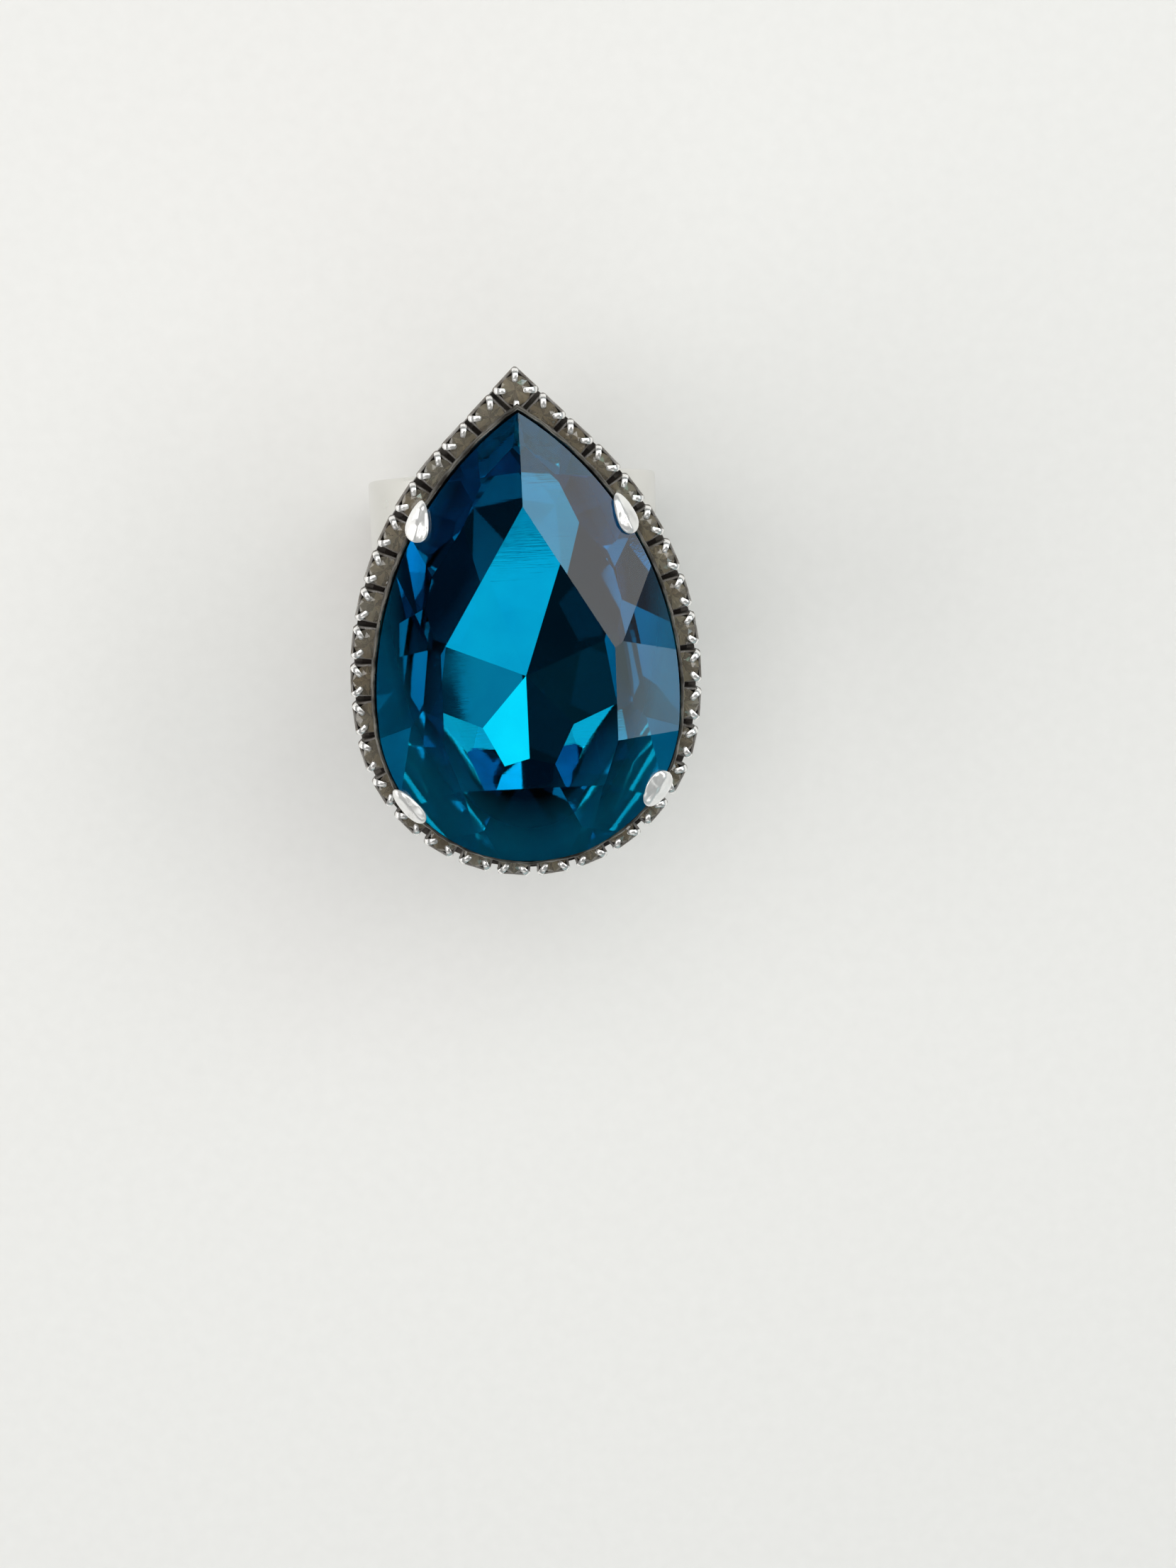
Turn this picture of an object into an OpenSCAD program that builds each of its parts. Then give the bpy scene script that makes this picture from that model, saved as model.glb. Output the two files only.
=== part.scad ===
// Cocktail ring: pear-cut crystal in a clawed setting, small stones in square cups around it, a wide band.
// Frame: origin at the middle of the finger bore, +Y along the finger to the pear's point, +Z to the stone.

/* [Crystal] */
// Length of the pear-cut crystal
crystal_length = 30; // [24:0.5:36]
// Width of the pear-cut crystal
crystal_width = 20; // [16:0.5:24]
// Height of the table above the girdle
crown_height = 2.5; // [1.8:0.1:3.2]
// Depth of the culet below the girdle
pavilion_depth = 6; // [4.5:0.1:7]
// Thickness of the polished girdle
girdle_thickness = 0.4; // [0.2:0.05:0.8]

/* [Setting] */
// How far the rim stands out past the crystal
rim_lip = 0.38; // [0.25:0.01:0.6]
// Thickness of the closed floor that is soldered to the band
floor_thickness = 0.65; // [0.5:0.05:1.2]
// Length of a claw along the girdle
claw_length = 2.9; // [2:0.1:4]
// Width of a claw across the girdle
claw_width = 1.7; // [1.2:0.1:2.4]

/* [Halo] */
// How far the top of the halo lies below the girdle
halo_drop = 2; // [1.6:0.1:3]
// How far the cups' outer walls stand past the crystal
halo_reach = 1.6; // [1.2:0.05:2.1]
// Depth of a cup from its outer wall to its inner wall
cup_depth = 2.3; // [2:0.05:2.6]
// Height of a cup below the rim of its wall
cup_height = 1.5; // [1.2:0.1:2]
// Thickness of the plate under the cups
plate_thickness = 0.8; // [0.5:0.1:1.2]

/* [Band] */
// Radius of the finger bore
bore_radius = 9.05; // [7.5:0.05:11]
// Thickness of the band
band_thickness = 1; // [0.8:0.05:2]
// Width of the band along the finger at the stone
band_width = 20.8; // [12:0.1:24]
// Width of the band along the finger at its open ends
band_end_width = 14.8; // [6:0.1:16]
// Gap between the open ends of the band
band_gap = 5; // [2:0.5:8]

/* [Hidden] */
$fn = 96;

fit_gap = 0.05;
cut_size = 90;

// Pear outline: a round end and two flank arcs that meet in a point.
pear_r = crystal_width / 2;
pear_c = pear_r - crystal_length / 2;
pear_h = crystal_length / 2 - pear_c;
pear_lean = 4.8;
flank_k = (pear_h * pear_h - pear_r * pear_r) / (2 * (pear_r + pear_h * sin(pear_lean)));
flank_r = flank_k + pear_r;
flank_x = -flank_k * cos(pear_lean);
flank_y = pear_c + flank_k * sin(pear_lean);
tip_normal = atan2(crystal_length / 2 - flank_y, -flank_x);

// Heights above the bore's axis.
band_outer = bore_radius + band_thickness;
solder_flat = 0.2;
culet_clear = 0.1;
solder_z = band_outer - solder_flat;
girdle_z = solder_z + floor_thickness + culet_clear + pavilion_depth;

// Heights around the girdle's middle plane.
girdle_low = -girdle_thickness / 2;
girdle_high = girdle_thickness / 2;
rim_low = -1.3;
floor_low = solder_z - girdle_z;
floor_top = floor_low + floor_thickness;
prong_rise = 0.5;
plate_top = -halo_drop - prong_rise - cup_height;
plate_low = plate_top - plate_thickness;

// Setting walls, as distances inside the crystal's outline.
cup_clear = 0.2;
wall_thickness = 1.7;
step_width = 0.65;
wall_out = cup_depth - halo_reach + cup_clear;
wall_in = wall_out + wall_thickness;
ledge_out = wall_out - step_width;
plate_inset = 0.25;

// Halo path: a straight run from the point at 45 degrees, a long arc, then a round end.
cups_per_side = 16;
halo_r = pear_r + halo_reach - cup_depth / 2;
halo_tip = (support(45) + halo_reach - cup_depth / 2) * sqrt(2);
halo_join = -10;
halo_k = ((halo_tip - pear_c) / sqrt(2) - halo_r)
    / (1 - (cos(halo_join) + sin(halo_join)) / sqrt(2));
halo_arc_r = halo_r + halo_k;
halo_arc_x = -halo_k * cos(halo_join);
halo_arc_y = pear_c - halo_k * sin(halo_join);
run_length = (halo_arc_x + halo_arc_r / sqrt(2)) * sqrt(2);
arc_length = halo_arc_r * (45 - halo_join) * PI / 180;
round_length = halo_r * (halo_join + 90) * PI / 180;
cup_pitch = (run_length + arc_length + round_length) / (cups_per_side + 0.5);
inner_chord = 2 * (halo_r - cup_depth / 2) * tan(cup_pitch / halo_r * 90 / PI);
cup_part = 0.02;
cup_width = min(0.9 * cup_pitch, inner_chord - cup_part);
tip_width = min(cup_depth, 2 * cup_pitch - cup_width - 2 * fit_gap);

// Small stone proportions.
chaton_half = 0.423 * min(cup_width, cup_depth);
chaton_corner = chaton_half / cos(22.5);
chaton_crown = 0.35;
chaton_pavilion = 0.9 * chaton_half;
chaton_table = 0.54 * chaton_half;
chaton_edge = 0.09;
chaton_z = girdle_z - halo_drop - chaton_crown;

// Cup heights and prongs.
cup_low = girdle_z + plate_top;
cup_top = cup_low + cup_height;
seat_gap = 0.03;
seat_r = chaton_corner + seat_gap;
seat_low = chaton_z - 0.15;
seat_high = chaton_z + 0.1;
cone_low = chaton_z - 1.2;
cone_r = seat_r - 0.78;
crown_room_r = seat_r - 0.13;
crown_room_top_r = seat_r - 0.48;
prong_width = 0.4;
prong_thick = 0.26;
prong_inset = 0.03;
prong_out = min(chaton_corner + 0.42, cup_width / sqrt(2) - prong_width / 2 - prong_inset);
hook_in = chaton_corner - 0.22;
hook_low = seat_high;
hook_thick = 0.24;
link_width = 0.9;
link_height = 0.35;
link_rise = 0.2;
link_bite = 0.15;
link_length = cup_pitch - cup_width + 2 * link_bite;

// Direction the path faces at a distance from the pointed cup, as the angle of its outward side.
function path_angle(s) =
    s < run_length ? 45 :
    s < run_length + arc_length ? 45 - (s - run_length) / halo_arc_r * 180 / PI :
    halo_join - (s - run_length - arc_length) / halo_r * 180 / PI;

// Point of the path at a distance from the pointed cup.
function path_point(s) =
    s < run_length ? [s / sqrt(2), halo_tip - s / sqrt(2)] :
    s < run_length + arc_length ?
        [halo_arc_x + halo_arc_r * cos(path_angle(s)), halo_arc_y + halo_arc_r * sin(path_angle(s))] :
        [halo_r * cos(path_angle(s)), pear_c + halo_r * sin(path_angle(s))];

// Distance from the middle of the frame to the outline's tangent that faces an angle.
function support(a) =
    a < -pear_lean ? pear_r + pear_c * sin(a) :
    a < tip_normal ? flank_x * cos(a) + flank_y * sin(a) + flank_r :
    crystal_length / 2 * sin(a);

// Crystal outline moved out by a distance.
module pear(d = 0) {
    translate([0, pear_c]) circle(r = pear_r + d);
    intersection() {
        translate([flank_x, flank_y]) circle(r = flank_r + d, $fn = 180);
        translate([-flank_x, flank_y]) circle(r = flank_r + d, $fn = 180);
        translate([-crystal_width, pear_c - pear_r * sin(pear_lean)])
            square([2 * crystal_width, 2 * crystal_length]);
    }
}

// Block that removes what lies above its lower face, or below its upper face.
module cut_block(above) {
    translate([-cut_size / 2, -cut_size / 2, above ? 0 : -cut_size]) cube(cut_size);
}

// Everything outside one crown facet that leaves the girdle at an angle and a slope.
module crown_cut(a, slope) {
    rotate([0, 0, a]) translate([support(a), 0, girdle_high]) rotate([0, slope, 0]) cut_block(true);
}

// Everything outside one pavilion facet that leaves the girdle at an angle and a slope.
module girdle_cut(a, slope) {
    rotate([0, 0, a]) translate([support(a), 0, girdle_low]) rotate([0, -slope, 0]) cut_block(false);
}

// Everything outside one long pavilion facet that passes through the culet.
module culet_cut(a, slope) {
    translate([0, culet_y, -pavilion_depth]) rotate([0, 0, a]) rotate([0, -slope, 0]) cut_block(false);
}

// Claw places, as outward angles, and how far they lean out and rise.
claw_high = 31.6;
claw_round = -33;
claw_lean = 0.28;
claw_rise = 1.05;

// Facet angles, each used on both sides of the long axis.
culet_y = -crystal_length / 10;
keel_share = 0.83;
culet_slope = atan(keel_share * (pavilion_depth + girdle_low) / (crystal_length / 2 - culet_y));
crown_main = [[31, 24], [14, 30.5], [0, 28], [-19, 29.5]];
crown_break = [[47, 31], [-52, 33]];
round_crown = 23;
round_pavilion = 34;
pavilion_main = [[48, 1.041], [-12, 1.176], [-68, 1.032]];
pavilion_break = [[58, 36], [20, 47.5], [-43, 34]];
girdle_break = [[38, 42], [2, 43], [-20, 43], [-66, 43]];

// Faceted crystal around its own girdle plane.
module crystal_body() {
    difference() {
        translate([0, 0, -2 * pavilion_depth]) linear_extrude(2 * pavilion_depth + crown_height) pear();
        for (side = [0, 1]) mirror([side, 0, 0]) {
            for (f = concat(crown_main, crown_break)) crown_cut(f[0], f[1]);
            for (f = pavilion_main) culet_cut(f[0], atan(tan(culet_slope) * f[1]));
            for (f = concat(pavilion_break, girdle_break)) girdle_cut(f[0], f[1]);
        }
        crown_cut(-90, round_crown);
        culet_cut(90, culet_slope);
        girdle_cut(-90, round_pavilion);
    }
}

module crystal() {
    color([0.0, 0.45, 0.7]) translate([0, 0, girdle_z]) crystal_body();
}

// Lens-shaped plan of a claw, long along the girdle.
module claw_plan() {
    bow = (claw_length * claw_length - claw_width * claw_width) / (4 * claw_width);
    intersection() {
        translate([bow, 0]) circle(r = bow + claw_width / 2);
        translate([-bow, 0]) circle(r = bow + claw_width / 2);
    }
}

// One claw on the girdle at an outward angle and a distance along the tangent, domed on top.
module claw(a, along) {
    dome_r = 1.25 * claw_length;
    rotate([0, 0, a]) translate([support(a) + claw_lean, along, 0]) intersection() {
        translate([0, 0, rim_low]) linear_extrude(claw_rise - rim_low) claw_plan();
        translate([-claw_lean, 0, claw_rise - dome_r]) sphere(r = dome_r);
    }
}

// Room for the crystal with a clearance on every side.
module crystal_room() {
    for (side = [-1, 1]) translate([0, 0, side * fit_gap]) scale(1 + fit_gap / pear_r) crystal_body();
}

// Closed cup that carries the crystal, with its rim and four claws.
module setting() {
    color([0.8, 0.8, 0.82]) translate([0, 0, girdle_z]) difference() {
        union() {
            translate([0, 0, rim_low]) linear_extrude(-rim_low) pear(rim_lip);
            translate([0, 0, plate_low]) linear_extrude(-plate_low + rim_low / 2) pear(-wall_out);
            translate([0, 0, floor_low]) linear_extrude(plate_low - floor_low) pear(-ledge_out);
            for (side = [0, 1]) mirror([side, 0, 0]) {
                claw(claw_high, flank_y * cos(claw_high) - flank_x * sin(claw_high));
                claw(claw_round, pear_c * cos(claw_round));
            }
        }
        translate([0, 0, floor_top]) linear_extrude(pavilion_depth) pear(-wall_in);
        crystal_room();
    }
}

// Halo outline at a distance outside the path of the cup centres.
module halo_outline(d) {
    corner = halo_tip + d * sqrt(2);
    intersection() {
        union() {
            translate([0, pear_c]) circle(r = halo_r + d);
            intersection() {
                translate([halo_arc_x, halo_arc_y]) circle(r = halo_arc_r + d, $fn = 180);
                translate([-halo_arc_x, halo_arc_y]) circle(r = halo_arc_r + d, $fn = 180);
                translate([-crystal_width, pear_c + halo_r * sin(halo_join)])
                    square([2 * crystal_width, 2 * crystal_length]);
            }
            translate([0, corner]) rotate([0, 0, 225]) square([run_length + d, run_length + d]);
        }
        translate([0, corner]) rotate([0, 0, 225]) square([60, 60]);
    }
}

// Plate under the cups, lying on the step of the setting.
module halo_plate() {
    color([0.6, 0.58, 0.55]) translate([0, 0, girdle_z + plate_low]) linear_extrude(plate_thickness)
        difference() {
            halo_outline(cup_depth / 2 - plate_inset);
            pear(-wall_out + fit_gap);
        }
}

// Square cup with four bent corner prongs, around the axis of its stone.
module cup(width) {
    difference() {
        union() {
            translate([-cup_depth / 2, -width / 2, cup_low]) cube([cup_depth, width, cup_height]);
            for (a = [0 : 3]) rotate([0, 0, 45 + 90 * a]) prong();
        }
        translate([0, 0, seat_low]) cylinder(r = seat_r, h = seat_high - seat_low);
        translate([0, 0, cone_low]) cylinder(r1 = cone_r, r2 = seat_r, h = seat_low + 0.01 - cone_low);
        translate([0, 0, chaton_z + chaton_edge])
            cylinder(r1 = crown_room_r, r2 = crown_room_top_r, h = hook_thick + seat_gap);
    }
}

// Corner post with a hook that lies on the stone's crown.
module prong() {
    translate([prong_out - prong_thick, -prong_width / 2, cup_low])
        cube([prong_thick, prong_width, hook_low - cup_low]);
    translate([hook_in, -prong_width / 2, hook_low])
        cube([prong_out - hook_in, prong_width, hook_thick]);
}

// Cups of one side with the link bars that join each cup to the next.
module cup_chain() {
    color([0.35, 0.33, 0.32]) {
        for (i = [1 : cups_per_side]) {
            p = path_point(i * cup_pitch);
            translate([p[0], p[1], 0]) rotate([0, 0, path_angle(i * cup_pitch)]) cup(cup_width);
        }
        for (i = [1 : cups_per_side - 1]) {
            m = (i + 0.5) * cup_pitch;
            p = path_point(m);
            translate([p[0], p[1], cup_low + link_rise]) rotate([0, 0, path_angle(m)])
                translate([-link_width / 3, -link_length / 2, 0])
                cube([link_width, link_length, link_height]);
        }
    }
}

module cup_chain_left() {
    mirror([1, 0, 0]) cup_chain();
}

module cup_chain_right() {
    cup_chain();
}

module cup_tip() {
    color([0.35, 0.33, 0.32]) translate([0, halo_tip, 0]) rotate([0, 0, 45]) cup(tip_width);
}

// One brilliant: four crossed prisms give the table, the crown and the pavilion facets.
module chaton() {
    color([0.45, 0.42, 0.38]) intersection_for (a = [0 : 3]) rotate([0, 0, 45 * a])
        rotate([90, 0, 0]) linear_extrude(4, center = true) polygon([
            [-chaton_table, chaton_crown], [chaton_table, chaton_crown],
            [chaton_half, chaton_edge / 2], [chaton_half, -chaton_edge / 2],
            [chaton_edge / 2, -chaton_pavilion], [-chaton_edge / 2, -chaton_pavilion],
            [-chaton_half, -chaton_edge / 2], [-chaton_half, chaton_edge / 2]]);
}

module chaton_tip() {
    translate([0, halo_tip, chaton_z]) rotate([0, 0, 45]) chaton();
}

// Stone number i counted from the pointed cup, on side 1 or mirrored on side -1.
module chaton_at(side, i) {
    p = path_point(i * cup_pitch);
    mirror([side < 0 ? 1 : 0, 0, 0]) translate([p[0], p[1], chaton_z])
        rotate([0, 0, path_angle(i * cup_pitch)]) chaton();
}

// Radius of the rounded corners at the band's open ends.
end_round = 1.6;

// Half the band's width at a height, on one straight taper from the solder joint to the open ends.
function band_half(z) = band_end_width / 2
    + (band_width - band_end_width) / 2 * (z + band_outer) / (solder_z + band_outer);

// Open-backed band with softened edges, a flat for the solder joint and a taper to its ends.
module band() {
    corner_x = band_gap / 2 + end_round;
    corner_y = band_half(-sqrt(bore_radius * bore_radius - corner_x * corner_x)) + fit_gap * 2;
    color([0.78, 0.78, 0.8]) difference() {
        intersection() {
            rotate([90, 0, 0]) rotate_extrude($fn = 180) band_section();
            rotate([90, 0, 90]) linear_extrude(60, center = true) polygon([
                [-band_half(20), 20], [band_half(20), 20],
                [band_half(-20), -20], [-band_half(-20), -20]]);
        }
        translate([-20, -20, solder_z]) cube([40, 40, 10]);
        translate([-band_gap / 2, -20, -20]) cube([band_gap, 40, 20]);
        for (sx = [0, 1]) for (sy = [0, 1]) mirror([sx, 0, 0]) mirror([0, sy, 0])
            translate([band_gap / 2, corner_y, -20]) linear_extrude(20) end_corner(end_round);
    }
}

// Cross-section of the band, radius across and finger axis upwards.
module band_section() {
    full = band_width + 2;
    translate([bore_radius, -full / 2]) square([band_thickness, full]);
}

// Corner piece that rounds an open end of the band by a radius.
module end_corner(r) {
    difference() {
        translate([-1, -r]) square([r + 1, r + 1]);
        translate([r, -r]) circle(r = r);
        translate([r, -r - 1]) square([2, r + 1]);
    }
}

band();
setting();
crystal();
halo_plate();
cup_tip();
cup_chain_left();
cup_chain_right();
chaton_tip();
chaton_at(-1, 1);  // chaton_left_01
chaton_at(-1, 2);  // chaton_left_02
chaton_at(-1, 3);  // chaton_left_03
chaton_at(-1, 4);  // chaton_left_04
chaton_at(-1, 5);  // chaton_left_05
chaton_at(-1, 6);  // chaton_left_06
chaton_at(-1, 7);  // chaton_left_07
chaton_at(-1, 8);  // chaton_left_08
chaton_at(-1, 9);  // chaton_left_09
chaton_at(-1, 10);  // chaton_left_10
chaton_at(-1, 11);  // chaton_left_11
chaton_at(-1, 12);  // chaton_left_12
chaton_at(-1, 13);  // chaton_left_13
chaton_at(-1, 14);  // chaton_left_14
chaton_at(-1, 15);  // chaton_left_15
chaton_at(-1, 16);  // chaton_left_16
chaton_at(1, 1);  // chaton_right_01
chaton_at(1, 2);  // chaton_right_02
chaton_at(1, 3);  // chaton_right_03
chaton_at(1, 4);  // chaton_right_04
chaton_at(1, 5);  // chaton_right_05
chaton_at(1, 6);  // chaton_right_06
chaton_at(1, 7);  // chaton_right_07
chaton_at(1, 8);  // chaton_right_08
chaton_at(1, 9);  // chaton_right_09
chaton_at(1, 10);  // chaton_right_10
chaton_at(1, 11);  // chaton_right_11
chaton_at(1, 12);  // chaton_right_12
chaton_at(1, 13);  // chaton_right_13
chaton_at(1, 14);  // chaton_right_14
chaton_at(1, 15);  // chaton_right_15
chaton_at(1, 16);  // chaton_right_16
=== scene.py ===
import bmesh
import bpy
import math
import random
from mathutils import Euler, Matrix, Vector, noise


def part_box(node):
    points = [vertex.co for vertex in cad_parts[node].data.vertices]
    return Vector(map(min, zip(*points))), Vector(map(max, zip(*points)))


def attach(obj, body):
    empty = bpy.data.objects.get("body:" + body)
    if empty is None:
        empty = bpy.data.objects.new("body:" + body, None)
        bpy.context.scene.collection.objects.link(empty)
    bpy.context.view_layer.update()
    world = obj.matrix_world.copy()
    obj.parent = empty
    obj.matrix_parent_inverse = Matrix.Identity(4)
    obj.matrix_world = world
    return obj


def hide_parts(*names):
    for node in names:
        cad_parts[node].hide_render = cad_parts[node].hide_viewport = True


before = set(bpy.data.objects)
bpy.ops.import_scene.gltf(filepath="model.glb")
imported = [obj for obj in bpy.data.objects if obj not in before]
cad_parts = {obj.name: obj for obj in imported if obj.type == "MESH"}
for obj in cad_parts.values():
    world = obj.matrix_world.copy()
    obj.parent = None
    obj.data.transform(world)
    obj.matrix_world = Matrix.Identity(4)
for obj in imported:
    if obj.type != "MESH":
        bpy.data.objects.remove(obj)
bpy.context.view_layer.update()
mm = 0.001


# ---------------------------------------------------------------- bench, camera and studio light
# The ring stands on its band on a sheet of pale card, seen from above with the pear's point away
# from the viewer. A big soft lamp stands on the right and weaker ones fill the rest. Some lamps only
# show in the metal and on the glass, some only through the crystal, and some only light the card.
scene = bpy.context.scene
scene.view_settings.view_transform = "Standard"

viewer = bpy.data.cameras.new("viewer")
viewer.lens = 81.2
viewer.sensor_width = 36
viewer.clip_start = 0.01
viewer_stand = bpy.data.objects.new("viewer", viewer)
scene.collection.objects.link(viewer_stand)
viewer_stand.location = Vector((-8.4, 37.6, 247.4)) * mm
viewer_stand.rotation_euler = Euler([math.radians(a) for a in (-11.52, -3.41, -1.94)])
scene.camera = viewer_stand

card_half = 4.0
# Distances in metres from the ring where the card's painted glow starts and where it is full.
painted_glow_from, painted_glow_full = 0.3, 1.2
card_form = bmesh.new()
bmesh.ops.create_grid(card_form, x_segments=2, y_segments=2, size=card_half)
card_mesh = bpy.data.meshes.new("card")
card_form.to_mesh(card_mesh)
card_form.free()
card = bpy.data.objects.new("card", card_mesh)
card.location.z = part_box("band")[0].z - 0.02 * mm
scene.collection.objects.link(card)

card_paper = bpy.data.materials.new("card_paper")
card_paper.use_nodes = True
paper = card_paper.node_tree
paper_shader = paper.nodes["Principled BSDF"]
paper_shader.inputs["Roughness"].default_value = 0.9
paper_shader.inputs["Specular IOR Level"].default_value = 0.1
paper_place = paper.nodes.new("ShaderNodeTexCoord")
paper_fibre = paper.nodes.new("ShaderNodeTexNoise")
paper_fibre.inputs["Scale"].default_value = 900
paper_tint = paper.nodes.new("ShaderNodeValToRGB")
paper_tint.color_ramp.elements[0].color = (0.765, 0.755, 0.74, 1)
paper_tint.color_ramp.elements[1].color = (0.805, 0.795, 0.78, 1)
paper.links.new(paper_place.outputs["Object"], paper_fibre.inputs["Vector"])
paper.links.new(paper_fibre.outputs["Fac"], paper_tint.inputs["Fac"])
paper.links.new(paper_tint.outputs["Color"], paper_shader.inputs["Base Color"])
# Painted light: the card glows white by itself. The glow is nothing at 0.3 m out from the ring and
# reaches a strength of 0.75 at 1.2 m and beyond, so the card's far part stays bright.
paper_reach = paper.nodes.new("ShaderNodeVectorMath")
paper_reach.operation = "LENGTH"
paper_painted_glow = paper.nodes.new("ShaderNodeMapRange")
paper_painted_glow.inputs["From Min"].default_value = painted_glow_from
paper_painted_glow.inputs["From Max"].default_value = painted_glow_full
paper_painted_glow.inputs["To Max"].default_value = 0.75
paper.links.new(paper_place.outputs["Object"], paper_reach.inputs[0])
paper.links.new(paper_reach.outputs["Value"], paper_painted_glow.inputs["Value"])
paper.links.new(paper_painted_glow.outputs["Result"], paper_shader.inputs["Emission Strength"])
card_mesh.materials.append(card_paper)

room = bpy.data.worlds.new("room")
room.use_nodes = True
scene.world = room
walls = room.node_tree
wall_way = walls.nodes.new("ShaderNodeTexCoord")
wall_height = walls.nodes.new("ShaderNodeSeparateXYZ")
wall_tone = walls.nodes.new("ShaderNodeValToRGB")
wall_tone.color_ramp.elements[0].position = 0.03
wall_tone.color_ramp.elements[0].color = (0.83, 0.83, 0.82, 1)
wall_tone.color_ramp.elements[1].position = 0.12
wall_tone.color_ramp.elements[1].color = (0.008, 0.010, 0.013, 1)
walls.links.new(wall_way.outputs["Generated"], wall_height.inputs["Vector"])
walls.links.new(wall_height.outputs["Z"], wall_tone.inputs["Fac"])
walls.links.new(wall_tone.outputs["Color"], walls.nodes["Background"].inputs["Color"])


def soft_lamp(name, side, height, glow, wide, tall, tint=(1, 0.99, 0.97), in_metal=True,
              in_glass=True, on_card=True):
    """A soft lamp facing the ring, placed by compass side and height angle, with a surface glow."""
    reach = 0.6
    lamp = bpy.data.lights.new(name, "AREA")
    lamp.shape = "RECTANGLE"
    lamp.size = wide
    lamp.size_y = tall
    lamp.energy = glow * math.pi * wide * tall
    lamp.color = tint
    stand = bpy.data.objects.new(name, lamp)
    scene.collection.objects.link(stand)
    a, h = math.radians(side), math.radians(height)
    way = Vector((math.cos(a) * math.cos(h), math.sin(a) * math.cos(h), math.sin(h)))
    stand.location = way * reach
    stand.rotation_euler = way.to_track_quat("Z", "Y").to_euler()
    stand.visible_glossy = in_metal
    stand.visible_transmission = in_glass
    stand.visible_diffuse = on_card
    return stand


cool = (0.72, 0.92, 1.0)
sea = (0.50, 0.93, 0.97)
soft_lamp("key_window", 20, 47, 2.5, 0.44, 0.22, in_glass=False)
soft_lamp("key_glint", 20, 47, 1.4, 0.44, 0.22, cool, in_glass=False, on_card=False)
soft_lamp("key_through", 20, 47, 0.85, 0.44, 0.22, cool, in_metal=False, on_card=False)
soft_lamp("tip_pane", 40, 33, 3.0, 0.08, 0.08, cool, in_glass=False)
soft_lamp("side_pane", -14, 32, 2.0, 0.08, 0.10, cool, in_glass=False)
soft_lamp("side_through", -14, 32, 0.9, 0.08, 0.10, cool, in_metal=False, on_card=False)
soft_lamp("sill_glow", 2, 24, 0.4, 0.30, 0.16, (0.80, 0.90, 1.0))
soft_lamp("front_panel", -72, 27.5, 0.80, 0.62, 0.09, sea)
soft_lamp("front_upper", -72, 36.3, 0.52, 0.50, 0.09, sea, in_metal=False)
soft_lamp("front_low", -99, 14.6, 0.50, 0.21, 0.10, sea, in_metal=False, on_card=False)
soft_lamp("back_pane", 61, 49, 1.4, 0.13, 0.13, (0.50, 1.0, 0.85))
soft_lamp("sky_card", 0, 88, 0.30, 0.50, 0.50, in_metal=False)
soft_lamp("left_card", 178, 30, 0.012, 0.50, 0.40, in_metal=False)
soft_lamp("left_fill", 180, 14, 1.8, 0.60, 0.20, in_glass=False)
soft_lamp("left_sky", 178, 38, 1.6, 0.60, 0.30, in_metal=False, in_glass=False)
soft_lamp("high_left", 180, 72, 2.0, 0.20, 0.20, in_glass=False)
soft_lamp("back_fill", 95, 64, 2.1, 0.50, 0.34, in_glass=False)
soft_lamp("front_fill", -95, 56, 1.0, 0.45, 0.16, in_glass=False)
soft_lamp("top_fill", 90, 80, 0.62, 1.20, 1.20, in_metal=False, in_glass=False)
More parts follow.
